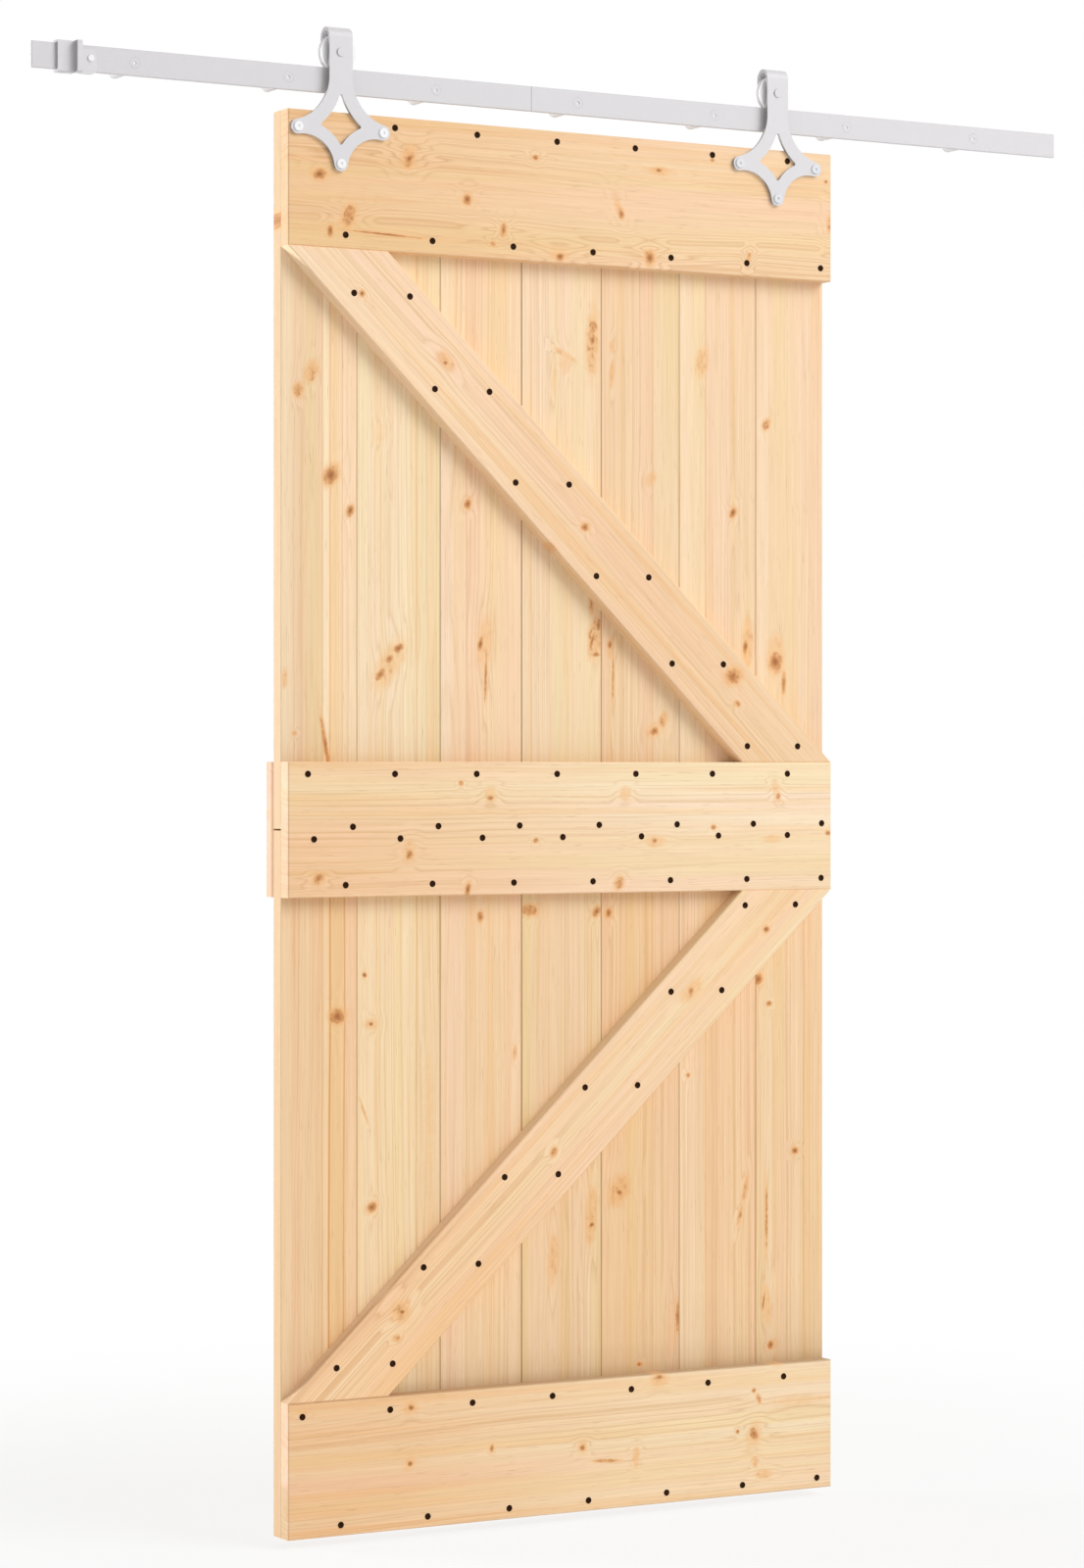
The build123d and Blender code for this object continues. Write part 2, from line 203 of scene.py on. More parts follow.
# distance from the nearest knot, in its own radii
def knotField(tree, wood, grain, middle, turn):
    tailStrength, tailWidth = knotLook["tailFrom"]
    tailLong, tailWide = knotLook["tailSize"]
    cosine, sine = math.cos(turn), math.sin(turn)
    distance = None
    for x, z, halfLong, halfWide, tilt, strength in wood["knots"]:
        right = doorLeft + x * mm - middle.x
        up = doorFoot + z * mm - middle.z
        place = (right * cosine + up * sine, up * cosine - right * sine, 0)
        paler = knotLook["paler"] * (1 - strength) ** knotLook["palerCurve"]
        core = min(paler, knotLook["coreMost"])
        oval = ovalField(tree, grain, place, math.radians(tilt) - turn, halfLong, halfWide)
        knot = mathStep(tree, "MAXIMUM", oval, mathStep(tree, "MULTIPLY_ADD", oval, 1 - core, core))
        knot = mathStep(tree, "ADD", knot, paler - core)
        if strength >= tailStrength and halfWide > tailWidth:
            tail = ovalField(tree, grain, place, 0, tailLong * halfWide, tailWide * halfWide)
            tail = mathStep(tree, "ADD", tail, knotLook["tailPaler"] + paler)
            knot = mathStep(tree, "MINIMUM", knot, tail)
        if distance is None:
            distance = knot
        else:
            distance = mathStep(tree, "SMOOTH_MIN", distance, knot, knotLook["melt"])
    return distance


# an edge-glued strip takes its grain from another place
def stripGrain(tree, grain, strip):
    jump = tree.nodes.new("ShaderNodeCombineXYZ")
    for socket, size in zip(jump.inputs, pineLook["stripJump"]):
        feed(tree, socket, mathStep(tree, "MULTIPLY", strip, size))
    moved = tree.nodes.new("ShaderNodeVectorMath")
    feed(tree, moved.inputs[0], grain)
    feed(tree, moved.inputs[1], jump.outputs[0])
    return moved.outputs[0]


# years counted from a slanting pith, bent by slow waves
def yearRings(tree, wood, lumber, spot, wave):
    along, side, deep = spot
    drift = noiseAt(tree, lumber, (0.9, 1, 1), (0, wood["seed"], 3), 1)
    pithSide, pithDeep = wood["pith"]
    bent = mathStep(tree, "MULTIPLY_ADD", wave, wood.get("wave", pineLook["wave"]) * mm, -pithSide * mm)
    fromSide = mathStep(tree, "ADD", side, bent)
    slant = mathStep(tree, "MULTIPLY_ADD", along, wood.get("slant", pineLook["slant"]), -pithDeep * mm)
    slant = mathStep(tree, "MULTIPLY_ADD", drift, pineLook["drift"], slant)
    fromDeep = mathStep(tree, "ADD", deep, slant)
    sideSquared = mathStep(tree, "MULTIPLY", fromSide, fromSide)
    deepSquared = mathStep(tree, "MULTIPLY", fromDeep, fromDeep)
    radius = mathStep(tree, "SQRT", mathStep(tree, "ADD", sideSquared, deepSquared))
    years = mathStep(tree, "DIVIDE", radius, wood["ringGap"] * mm)
    uneven = tree.nodes.new("ShaderNodeTexNoise")
    uneven.noise_dimensions = "1D"
    uneven.inputs["Scale"].default_value = 0.55
    uneven.inputs["Detail"].default_value = 1.0
    feed(tree, uneven.inputs["W"], mathStep(tree, "ADD", years, wood["seed"] * 10.0))
    return mathStep(tree, "MULTIPLY_ADD", uneven.outputs["Fac"], pineLook["unevenRings"], years)


# latewood lines bow round the knots, and come and go in patches
def latewoodLines(tree, wood, lumber, years, knots):
    reach, bow = wood.get("bow", pineLook["bow"])
    years = mathStep(tree, "ADD", years, remap(tree, knots, 0.2, reach, bow, 0.0))
    line = rampOf(tree, mathStep(tree, "FRACT", years), (
        (0.0, (0.25,) * 3), (0.18, (0,) * 3), (0.6, (0.12,) * 3), (0.9, (1,) * 3), (1.0, (0.25,) * 3)))
    patch = noiseAt(tree, lumber, (0.9, 13, 13), (wood["seed"], 5, 0), 2)
    return mathStep(tree, "MULTIPLY", line, remap(tree, patch, 0.36, 0.68, 0.08, wood["lines"]))


# broad bands and narrow streaks under the latewood lines
def bandedWood(tree, wood, lumber, line):
    seed = wood["seed"]
    tone = wood["tone"]
    broad = remap(tree, noiseAt(tree, lumber, (0.6, 15, 15), (2, seed, 0), 2), 0.4, 0.62)
    colour = mixColour(tree, broad, tone, toned(tone, pineLook["pink"]))
    yellowed = noiseAt(tree, lumber, (0.5, 22, 22), (seed, 6, 2), 2)
    yellowed = remap(tree, yellowed, 0.5, 0.66, 0.0, 0.9)
    colour = mixColour(tree, yellowed, colour, toned(tone, pineLook["straw"]))
    bleached = noiseAt(tree, lumber, (0.7, 36, 36), (4, seed, 6), 2)
    bleached = remap(tree, bleached, 0.52, 0.7, 0.0, 0.9)
    colour = mixColour(tree, bleached, colour, toned(tone, pineLook["cream"]))
    narrow = noiseAt(tree, lumber, (1.1, 60, 60), (seed, 2, 8), 3)
    narrow = remap(tree, narrow, 0.5, 0.72, 0.0, 0.8)
    colour = mixColour(tree, narrow, colour, toned(tone, pineLook["orange"]))
    return mixColour(tree, line, colour, toned(tone, pineLook["late"]))


# a board's own streaks, each given by x and half width in mm, tone and amount
def ownStreaks(tree, wood, colour, across, wave, middle):
    sway = pineLook["streakSway"]
    for place, half, shade, amount in wood.get("streaks", ()):
        offStreak = mathStep(tree, "ADD", across, doorLeft + (place - sway / 2) * mm - middle.x)
        offStreak = mathStep(tree, "ABSOLUTE", mathStep(tree, "MULTIPLY_ADD", wave, sway * mm, offStreak))
        streak = remap(tree, offStreak, 0.3 * half * mm, half * mm, amount, 0.0)
        colour = mixColour(tree, streak, colour, toned(wood["tone"], pineLook[shade]))
    return colour


# painted light and shade by facing and height: sides lit or shaded, ends toned for end grain with painted
# light, painted shadow bands on ends, painted shade on tops and on the boards just above a rail
def paintedLightAndEndGrain(tree, wood, colour, coords, low):
    facing = splitVector(tree, tree.nodes.new("ShaderNodeTexCoord").outputs["Normal"])
    # painted light and shade on the side faces, lighter or darker by how they face the lamps
    if "sidePaintedLight" in wood:
        facingMask = remap(tree, mathStep(tree, "ABSOLUTE", facing[1]), 0.5, 0.8, 1.0, 0.0)
        colour = mixColour(tree, facingMask, colour, wood["sidePaintedLight"], "MULTIPLY")
    # end faces: the end grain's own tone together with painted light and shade for how they are lit
    if "endGrainAndPaintedLight" in wood:
        facingMask = remap(tree, mathStep(tree, "ABSOLUTE", facing[0]), 0.75, 0.95)
        colour = mixColour(tree, facingMask, colour, wood["endGrainAndPaintedLight"], "MULTIPLY")
        if "endPaintedShade" in wood:   # painted shadow band on an end face, where it meets the boards or near the foot: axis, mm from its low side where it is full and where it is gone, tone
            axis, full, gone, shadeTone = wood["endPaintedShade"]
            place = splitVector(tree, coords)[axis]
            shadeBand = remap(tree, place, low[axis] + full * mm, low[axis] + gone * mm, 1.0, 0.0)
            colour = mixColour(tree, mathStep(tree, "MULTIPLY", facingMask, shadeBand), colour, shadeTone, "MULTIPLY")
    # painted shade on up-facing faces, for the shadow on the bottom rail's top under the boards
    if "topPaintedShade" in wood:
        topShadeMask = remap(tree, facing[2], 0.5, 0.8)
        colour = mixColour(tree, topShadeMask, colour, wood["topPaintedShade"], "MULTIPLY")
    # painted shade on the boards' front just above the rail below, fading upward
    if "footFrom" in wood:
        slope = 1 / (pineLook["footShadeHeight"] * mm)
        upright = splitVector(tree, coords)[2]
        rise = mathStep(tree, "MULTIPLY_ADD", upright, slope, -slope * wood["footFrom"], clamp=True)
        front = remap(tree, facing[1], -0.8, -0.5, wood["footShade"], 0.0)
        colour = mixColour(tree, front, colour, rampOf(tree, rise, pineLook["footShadeRamp"]), "MULTIPLY")
    return colour


# a knot: orange stain, brown wood with a dark heart, a broken dark ring and specks
def knotWood(tree, wood, colour, grain, knots):
    seed = wood["seed"]
    stain = remap(tree, knots, 0.9, 2.1, 0.7, 0.0)
    colour = mixColour(tree, stain, colour, toned(wood["tone"], knotLook["stain"]))
    ragged = noiseAt(tree, grain, (85, 120, 20), (0, seed, 1), 3, 0.6)
    spread = mathStep(tree, "MULTIPLY", knots, remap(tree, ragged, 0.3, 0.7, 0.16, 0.26, smooth=False))
    knotColour = rampOf(tree, spread, (
        (0.0, knotLook["heart"]), (0.1, knotLook["wood"]), (0.19, knotLook["rim"]), (0.3, knotLook["halo"])))
    knotCover = rampOf(tree, spread, (
        (0.04, (0.95,) * 3), (0.14, (0.85,) * 3), (0.21, (0.5,) * 3), (0.3, (0.2,) * 3), (0.45, (0,) * 3)))
    colour = mixColour(tree, knotCover, colour, knotColour)
    ring = rampOf(tree, spread, ((0.17, (0,) * 3), (0.205, (0.6,) * 3), (0.24, (0,) * 3)))
    broken = remap(tree, noiseAt(tree, grain, (150, 150, 30), (2, seed, 9), 1), 0.42, 0.6)
    colour = mixColour(tree, mathStep(tree, "MULTIPLY", ring, broken), colour, knotLook["wood"])
    speck = remap(tree, noiseAt(tree, grain, (300, 380, 40), (seed, 1, 3), 1), 0.66, 0.74)
    speck = mathStep(tree, "MULTIPLY", speck, remap(tree, knots, 0.8, 1.4, 0.6, 0.0))
    return mixColour(tree, speck, colour, knotLook["heart"])


# the shadowed line where two boards meet
def boardSeam(tree, wood, colour, across, middle):
    leftEdge, rightEdge = wood["edges"]
    half = (rightEdge - leftEdge) / 2
    centred = mathStep(tree, "ADD", across, (leftEdge + rightEdge) / 2 - middle.x)
    rim = mathStep(tree, "ABSOLUTE", centred)
    begin, full = pineLook["seamLine"]
    dark = remap(tree, rim, half - begin * mm, half - full * mm, 0.0, wood["seam"])
    return mixColour(tree, dark, colour, pineLook["seam"])


def pineMaterial(wood):
    mat, tree, shader = newMaterial("pine_" + wood["node"])
    low, high = (Vector(corner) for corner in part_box(wood["node"]))
    middle = (low + high) / 2
    turn = math.radians(wood["turn"])
    seed = wood["seed"]

    # the grain runs along the piece, and a glued strip has its own
    coords = tree.nodes.new("ShaderNodeTexCoord").outputs["Object"]
    grain = mapCoords(tree, coords, "TEXTURE", middle, (math.pi / 2, -turn, 0))
    across = splitVector(tree, grain)[1]
    lumber = grain
    if "joint" in wood:
        jointSide = middle.x - doorLeft - wood["joint"] * mm
        strip = mathStep(tree, "LESS_THAN", across, jointSide)
        lumber = stripGrain(tree, grain, strip)
    spot = splitVector(tree, lumber)   # along, across and into the piece
    wave = noiseAt(tree, lumber, (1.6, 7, 7), (seed, 0, 0), 2)
    years = yearRings(tree, wood, lumber, spot, wave)
    knots = knotField(tree, wood, grain, middle, turn)
    line = latewoodLines(tree, wood, lumber, years, knots)

    # colour of the wood, what differs from place to place, and painted light and shade along some pieces
    colour = bandedWood(tree, wood, lumber, line)
    colour = ownStreaks(tree, wood, colour, across, wave, middle)
    # towards its left end a piece takes another tone: partly the wood's own colour, partly painted light and
    # shade for the light falling off across the door
    if "leftToneAndShade" in wood:
        fade = remap(tree, spot[0], low.x - middle.x, 0.6 * (high.x - middle.x), 1.0, 0.0)
        colour = mixColour(tree, fade, colour, wood["leftToneAndShade"], "MULTIPLY")
    if "upperTone" in wood:
        fade = remap(tree, across, -pineLook["upperFade"] * mm, pineLook["upperFade"] * mm)
        colour = mixColour(tree, fade, colour, wood["upperTone"], "MULTIPLY")
    if "joint" in wood:
        colour = mixColour(tree, strip, colour, wood["stripTone"], "MULTIPLY")
        offJoint = mathStep(tree, "ABSOLUTE", mathStep(tree, "SUBTRACT", across, jointSide))
        full, gone, amount = pineLook["jointLine"]
        glued = remap(tree, offJoint, full * mm, gone * mm, amount, 0.0)
        colour = mixColour(tree, glued, colour, pineLook["resin"])
    colour = paintedLightAndEndGrain(tree, wood, colour, coords, low)

    # fibres and short resin flecks
    fibre = noiseAt(tree, lumber, (6, 330, 330), (seed, 0, 7), 3, 0.65)
    shade = rampOf(tree, fibre, ((0.3, pineLook["fibre"]), (0.66, (1, 1, 1))))
    colour = mixColour(tree, 1.0, colour, shade, "MULTIPLY")
    fleck = noiseAt(tree, lumber, (26, 620, 620), (seed, 9, 0), 1)
    colour = mixColour(tree, remap(tree, fleck, 0.66, 0.76, 0.0, 0.35), colour, pineLook["fleck"])

    colour = knotWood(tree, wood, colour, grain, knots)
    if "edges" in wood:
        colour = boardSeam(tree, wood, colour, across, middle)
    feed(tree, shader.inputs["Base Color"], colour)
    feed(tree, shader.inputs["Roughness"], remap(tree, line, 0, 1, *reversed(pineLook["roughness"])))
    shader.inputs["Specular IOR Level"].default_value = pineLook["specular"]
    relief = mathStep(tree, "MULTIPLY_ADD", line, -0.5, fibre)
    reliefDepth, reliefStrength = pineLook["relief"]
    addBump(tree, shader, relief, reliefDepth * mm, reliefStrength)
    return mat


# rails, from the top down
topRail = {
    "node": "top_rail", "turn": 0, "seed": 1.3, "tone": (0.93, 0.675, 0.42), "pith": (-170, 90),
    "slant": 0.02, "wave": 34, "bow": (6.5, 2.0), "leftToneAndShade": (0.96, 0.89, 0.80),
    "endGrainAndPaintedLight": (0.98, 0.965, 1.03),
    "knots": [(51, 2007, 9, 7, 10, 0.9), (199, 2042, 14, 9, 75, 0.5), (200, 2040, 6, 4, 40, 0.9),
              (298, 1986, 7, 6, 60, 0.9), (99, 1948, 14, 8, 70, 0.6), (69, 1925, 7, 4, 80, 0.88),
              (360, 1944, 8, 4, 80, 0.82), (342, 1922, 4, 3, 0, 0.6), (157, 1925, 55, 1.5, -2, 0.8),
              (456, 1912, 12, 8, 0, 0.42), (458, 1910, 6, 5, 0, 0.95), (415, 2057, 4, 3, 0, 0.8),
              (634, 2052, 16, 5, 0, 0.45), (634, 2053, 5, 3, 0, 0.85), (562, 1990, 14, 5, 110, 0.42),
              (566, 1982, 6, 4, 100, 0.8), (617, 1917, 9, 7, 90, 0.85), (730, 2076, 3, 2, 0, 0.7),
              (797, 1929, 6, 3, 80, 0.5), (940, 2057, 3, 2, 0, 0.8), (948, 1990, 12, 5, 88, 0.5)],
}
middleRail = {
    "node": "middle_rail_front", "turn": 0, "seed": 4.1, "tone": (0.965, 0.75, 0.505), "pith": (190, 70),
    "slant": -0.015, "wave": 26, "leftToneAndShade": (0.96, 0.855, 0.72), "upperTone": (1.02, 1.075, 1.13),
    "endGrainAndPaintedLight": (0.95, 0.905, 0.985),
    "knots": [(338, 1093, 10, 8, 80, 0.42), (338, 1088, 4, 3, 0, 0.8), (287, 1110, 3, 3, 0, 0.6),
              (573, 1094, 9, 8, 60, 0.42), (848, 1096, 17, 6, 105, 0.36), (851, 1089, 4, 3, 60, 0.6),
              (732, 1041, 4, 3, 0, 0.75), (199, 1008, 13, 8, 75, 0.4), (200, 1004, 6, 5, 70, 0.75),
              (49, 971, 8, 6, 20, 0.76), (299, 951, 8, 4, 80, 0.9), (626, 1020, 14, 7, 0, 0.42),
              (626, 1021, 4, 3, 0, 0.8), (944, 1031, 4, 3, 0, 0.75), (562, 957, 8, 6, 70, 0.58),
              (416, 1023, 4, 3, 0, 0.6), (840, 1022, 14, 5, 0, 0.38)],
}
middleRailBack = {
    "node": "middle_rail_back", "turn": 0, "seed": 7.7, "tone": (0.93, 0.67, 0.42), "pith": (-160, -80),
    "slant": 0.018, "endGrainAndPaintedLight": (0.94, 0.85, 0.945), "endPaintedShade": (1, 4, 11, (0.62, 0.55, 0.46)),
    "knots": [(180, 1080, 13, 8, 30, 0.8), (420, 985, 7, 5, 60, 0.85), (655, 1060, 16, 8, 70, 0.6),
              (810, 975, 9, 6, 0, 0.8)],
}
bottomRail = {
    "node": "bottom_rail", "turn": 0, "seed": 9.2, "tone": (0.98, 0.77, 0.515), "pith": (150, 80),
    "slant": -0.02, "wave": 22, "leftToneAndShade": (0.94, 0.80, 0.69), "topPaintedShade": (0.6, 0.56, 0.52),
    "endGrainAndPaintedLight": (1.0, 0.985, 1.195), "endPaintedShade": (2, 72, 86, (0.78, 0.83, 0.70)),
    "knots": [(201, 180, 10, 8, 0, 0.45), (203, 180, 5, 4, 0, 0.95), (340, 109, 5, 3, 80, 0.8),
              (201, 98, 10, 7, 60, 0.42), (201, 97, 4, 4, 0, 0.9), (497, 98, 8, 7, 70, 0.45),
              (497, 97, 4, 4, 0, 0.8), (540, 74, 18, 2, -3, 0.6), (592, 75, 12, 5, 88, 0.45),
              (634, 191, 12, 9, 0, 0.45), (634, 195, 5, 3, 0, 0.7), (850, 203, 12, 6, 0, 0.38),
              (806, 94, 17, 11, 70, 0.4), (806, 94, 9, 6, 110, 0.75), (776, 100, 3, 3, 0, 0.8),
              (806, 162, 3, 3, 0, 0.75), (815, 148, 6, 3, 110, 0.6), (808, 50, 6, 4, 100, 0.5),
              (824, 30, 12, 6, 0, 0.42), (890, 140, 45, 8, 0, 0.3), (22, 186, 8, 3, 0, 0.45)],
}
upperBrace = {
    "node": "upper_brace", "turn": -44, "seed": 2.6, "tone": (0.92, 0.655, 0.405), "pith": (160, 100),
    "slant": 0.014, "leftToneAndShade": (1.07, 1.15, 1.25), "sidePaintedLight": (1.03, 1.1, 1.12),
    "knots": [(121, 1835, 4, 4, 0, 0.97), (262, 1742, 14, 8, -44, 0.45), (261, 1739, 4, 3, 0, 0.85),
              (502, 1500, 6, 5, 0, 0.8), (768, 1276, 12, 10, 20, 0.75), (775, 1233, 5, 4, 0, 0.5),
              (447, 1470, 8, 2, -44, 0.42)],
}
lowerBrace = {
    "node": "lower_brace", "turn": 43, "seed": 5.9, "tone": (0.975, 0.73, 0.465), "pith": (-150, 90),
    "slant": -0.014, "leftToneAndShade": (1.01, 0.94, 0.88), "sidePaintedLight": (0.92, 0.96, 1.06),
    "knots": [(829, 881, 4.5, 4.5, 0, 0.93), (693, 789, 18, 8, 43, 0.45), (692, 789, 5, 3.5, 43, 0.75),
              (447, 550, 6, 4, 60, 0.62), (186, 324, 12, 11, 40, 0.5), (188, 324, 4, 3, 0, 0.9),
              (179, 285, 5, 4, 0, 0.5)],
}

# upright boards from left to right; a joint is where two glued strips of a board meet
upperBoards = [
    {"node": "upper_board_1", "seed": 1.1, "tone": (0.91, 0.69, 0.44), "pith": (90, 80), "seam": 0.35,
     "endGrainAndPaintedLight": (0.80, 0.755, 0.685), "joint": 68, "stripTone": (1.08, 1.11, 1.13),
     "streaks": [(8, 14, "cream", 0.9), (74, 6, "cream", 0.9), (88, 10, "orange", 0.8),
                 (81, 1.5, "vein", 0.5), (101, 1.5, "vein", 0.4)],
     "knots": [(0, 1939, 10, 4, 88, 0.7), (50, 1719, 14, 9, 70, 0.48), (28, 1690, 8, 6, 80, 0.62),
               (82, 1566, 13, 9, 60, 0.85), (114, 1515, 7, 5, 60, 0.9), (74, 1161, 37, 3, 100, 0.75),
               (6, 1265, 12, 4, 88, 0.42), (22, 1184, 3, 3, 0, 0.5)]},
    {"node": "upper_board_2", "seed": 2.4, "tone": (0.98, 0.80, 0.535), "pith": (-110, 70), "seam": 0.25,
     "joint": 225, "stripTone": (0.97, 0.95, 0.92),
     "knots": [(180, 1288, 34, 14, 58, 0.43), (195, 1312, 8, 5, 30, 0.85), (180, 1296, 6, 4, 50, 0.7),
               (164, 1272, 9, 5, 50, 0.8), (166, 1632, 13, 8, 80, 0.28)]},
    {"node": "upper_board_3", "seed": 3.8, "tone": (0.975, 0.735, 0.495), "pith": (70, 90), "seam": 0.7,
     "joint": 310, "stripTone": (1.0, 0.97, 0.93),
     "knots": [(312, 1531, 7, 5, 70, 0.85), (341, 1322, 30, 10, 86, 0.42), (334, 1320, 9, 4, 80, 0.9),
               (343, 1272, 28, 2, 88, 0.7)]},
    {"node": "upper_board_4", "seed": 4.9, "tone": (0.95, 0.745, 0.505), "pith": (-90, 90), "seam": 0.75,
     "knots": [(482, 1752, 14, 10, 80, 0.36), (481, 1764, 17, 4, -26, 0.43), (462, 1726, 22, 3, 88, 0.38),
               (529, 1784, 36, 8.5, 88, 0.5), (530, 1789, 8, 4, 80, 0.78), (530, 1808, 8, 6, 88, 0.58),
               (534, 1332, 25, 10, 85, 0.5), (529, 1328, 12, 3, 75, 0.8), (540, 1351, 8, 3, 85, 0.78),
               (536, 1307, 5, 3, 0, 0.72), (528, 1384, 14, 4, 85, 0.52)]},
    {"node": "upper_board_5", "seed": 5.5, "tone": (0.92, 0.68, 0.425), "pith": (120, 60), "seam": 0.4,
     "joint": 637, "stripTone": (1.0, 1.03, 1.06),
     "knots": [(634, 1579, 10, 7, 60, 0.4), (564, 1781, 9, 4, 85, 0.38), (563, 1737, 16, 2.5, 86, 0.48),
               (560, 1322, 5, 3.5, 80, 0.8), (562, 1318, 14, 6, 86, 0.4), (566, 1271, 29, 1.5, 89, 0.6),
               (640, 1190, 6, 5, 40, 0.85), (642, 1192, 15, 10, 30, 0.38), (655, 1207, 10, 6, 70, 0.5)]},
    {"node": "upper_board_6", "seed": 6.7, "tone": (0.95, 0.73, 0.485), "pith": (-80, 100), "seam": 0.4,
     "joint": 733, "stripTone": (0.98, 0.96, 0.94),
     "knots": [(726, 1764, 19, 9, 80, 0.44), (783, 1532, 7, 5, 60, 0.95), (810, 1330, 30, 8, 88, 0.45),
               (806, 1322, 10, 4, 85, 0.85)]},
    {"node": "upper_board_7", "seed": 7.3, "tone": (0.94, 0.70, 0.46), "pith": (100, 70), "seam": 0.35,
     "knots": [(845, 1672, 8, 5, 60, 0.55), (862, 1300, 13, 10, 85, 0.85), (862, 1310, 26, 12, 88, 0.42),
               (877, 1267, 14, 3, 88, 0.7)]},
]
lowerBoards = [
    {"node": "lower_board_1", "seed": 8.2, "tone": (0.90, 0.63, 0.365), "pith": (95, 75), "seam": 0.35,
     "endGrainAndPaintedLight": (0.79, 0.77, 0.73), "joint": 68, "stripTone": (1.04, 1.05, 1.05),
     "streaks": [(8, 14, "cream", 1.0), (74, 6, "cream", 0.8), (92, 12, "orange", 0.5),
                 (80, 2, "vein", 1.0), (104, 1.8, "vein", 0.75)],
     "knots": [(93, 765, 10, 9, 0, 0.86)]},
    {"node": "lower_board_2", "seed": 9.6, "tone": (0.975, 0.745, 0.475), "pith": (-100, 80), "seam": 0.3,
     "joint": 225, "stripTone": (0.97, 0.95, 0.92),
     "knots": [(138, 825, 3.2, 3.2, 0, 1.0), (149, 752, 8, 7, 0, 0.45), (149, 752, 3, 3, 0, 0.9),
               (150, 479, 8, 6, 50, 0.8), (137, 622, 14, 1.5, 110, 0.5), (245, 600, 95, 9, 90, 0.28)]},
    {"node": "lower_board_3", "seed": 10.4, "tone": (0.94, 0.705, 0.45), "pith": (80, 85), "seam": 0.7,
     "joint": 310, "stripTone": (1.0, 0.97, 0.93),
     "knots": [(334, 908, 7, 4, 85, 0.75), (393, 701, 9, 3, 85, 0.5)]},
    {"node": "lower_board_4", "seed": 11.7, "tone": (0.91, 0.685, 0.415), "pith": (-95, 80), "seam": 0.75,
     "knots": [(419, 917, 11, 7, 0, 0.6), (537, 913, 7, 5, 60, 0.9), (460, 383, 32, 8, 87, 0.42),
               (527, 446, 34, 9, 85, 0.43), (528, 433, 4, 3.5, 0, 0.9)]},
    {"node": "lower_board_5", "seed": 12.9, "tone": (0.91, 0.635, 0.365), "pith": (115, 65), "seam": 0.4,
     "joint": 637, "stripTone": (1.0, 1.03, 1.06),
     "knots": [(558, 910, 6, 5, 60, 0.85), (577, 483, 19, 13, 60, 0.47), (578, 480, 5, 4, 0, 0.9),
               (682, 281, 18, 3, 88, 0.7), (668, 262, 40, 8, 88, 0.3), (613, 213, 4, 3, 0, 0.82)]},
    {"node": "lower_board_6", "seed": 13.1, "tone": (0.955, 0.72, 0.46), "pith": (-85, 90), "seam": 0.4,
     "joint": 733, "stripTone": (0.98, 0.93, 0.86),
     "knots": [(701, 656, 3, 3, 0, 0.75), (806, 474, 15, 3, 80, 0.55), (796, 433, 12, 3, 75, 0.5)]},
    {"node": "lower_board_7", "seed": 14.5, "tone": (0.925, 0.68, 0.415), "pith": (105, 75), "seam": 0.35,
     "streaks": [(867, 5, "orange", 0.6), (914, 2, "vein", 0.4), (925, 5, "orange", 0.8),
                 (900, 5, "cream", 0.6)],
     "knots": [(830, 802, 8, 6, 60, 0.86), (850, 763, 4, 3, 0, 0.75), (898, 530, 6, 5, 0, 0.95),
               (853, 227, 6, 5, 40, 0.9), (845, 290, 26, 8, 95, 0.4), (840, 297, 12, 1.5, 80, 0.75),
               (845, 425, 40, 2, 90, 0.58)]},
]

for rail in (topRail, middleRail, middleRailBack, bottomRail, upperBrace, lowerBrace):
    rail["ringGap"] = 8 if rail is bottomRail else 11
    rail["lines"] = 1.0 if rail is topRail else 0.75
    dress(rail["node"], pineMaterial(rail))
for row in (upperBoards, lowerBoards):
    starts = [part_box(board["node"])[0][0] for board in row] + [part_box("bottom_rail")[1][0]]
    noSeam = 10 * mm   # no board meets the row's outer edges, so no dark line there
    starts[0] -= noSeam
    starts[-1] += noSeam
    for board, leftEdge, rightEdge in zip(row, starts, starts[1:]):
        board["turn"] = 90
        board["ringGap"] = 8.5
        board["lines"] = 0.62
        board["edges"] = (leftEdge, rightEdge)
        railBelow = "bottom_rail" if row is lowerBoards else "middle_rail_front"
        board["footShade"] = 1.0 if row is lowerBoards else 0.55
        board["footFrom"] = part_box(railBelow)[1][2]
        dress(board["node"], pineMaterial(board))
print("pine rails, braces and boards finished")


# painted and plated steel; an edge share is painted shade that darkens the edges facing along the track
trackPaint = {"name": "white_paint", "colour": (0.67, 0.655, 0.67), "roughness": 0.42, "grain": 900}
strapPaint = {"name": "white_strap_paint", "colour": (0.69, 0.675, 0.69), "roughness": 0.42, "grain": 900,
              "edge": 0.5}
stopPaint = {"name": "white_stop_paint", "colour": (0.70, 0.685, 0.70), "roughness": 0.42, "grain": 900,
             "edge": 0.7}
# the hanger bolts carry one white paint in two copies: the left hanger's and the stop's made bright as
# painted light, the right hanger's a duller bluish grey
leftBoltPaint = {"name": "bright_bolt_paint", "colour": (0.90, 0.90, 0.91), "roughness": 0.35, "grain": 1400}
rightBoltPaint = {"name": "pale_bolt_paint", "colour": (0.72, 0.735, 0.76), "roughness": 0.35, "grain": 1400}
wheelPaint = {"name": "white_wheel", "colour": (0.93, 0.925, 0.93), "roughness": 0.45, "grain": 1100}
platedSteel = {"name": "plated_steel", "colour": (0.62, 0.62, 0.63), "roughness": 0.32, "grain": 2200,
               "metallic": 1.0}
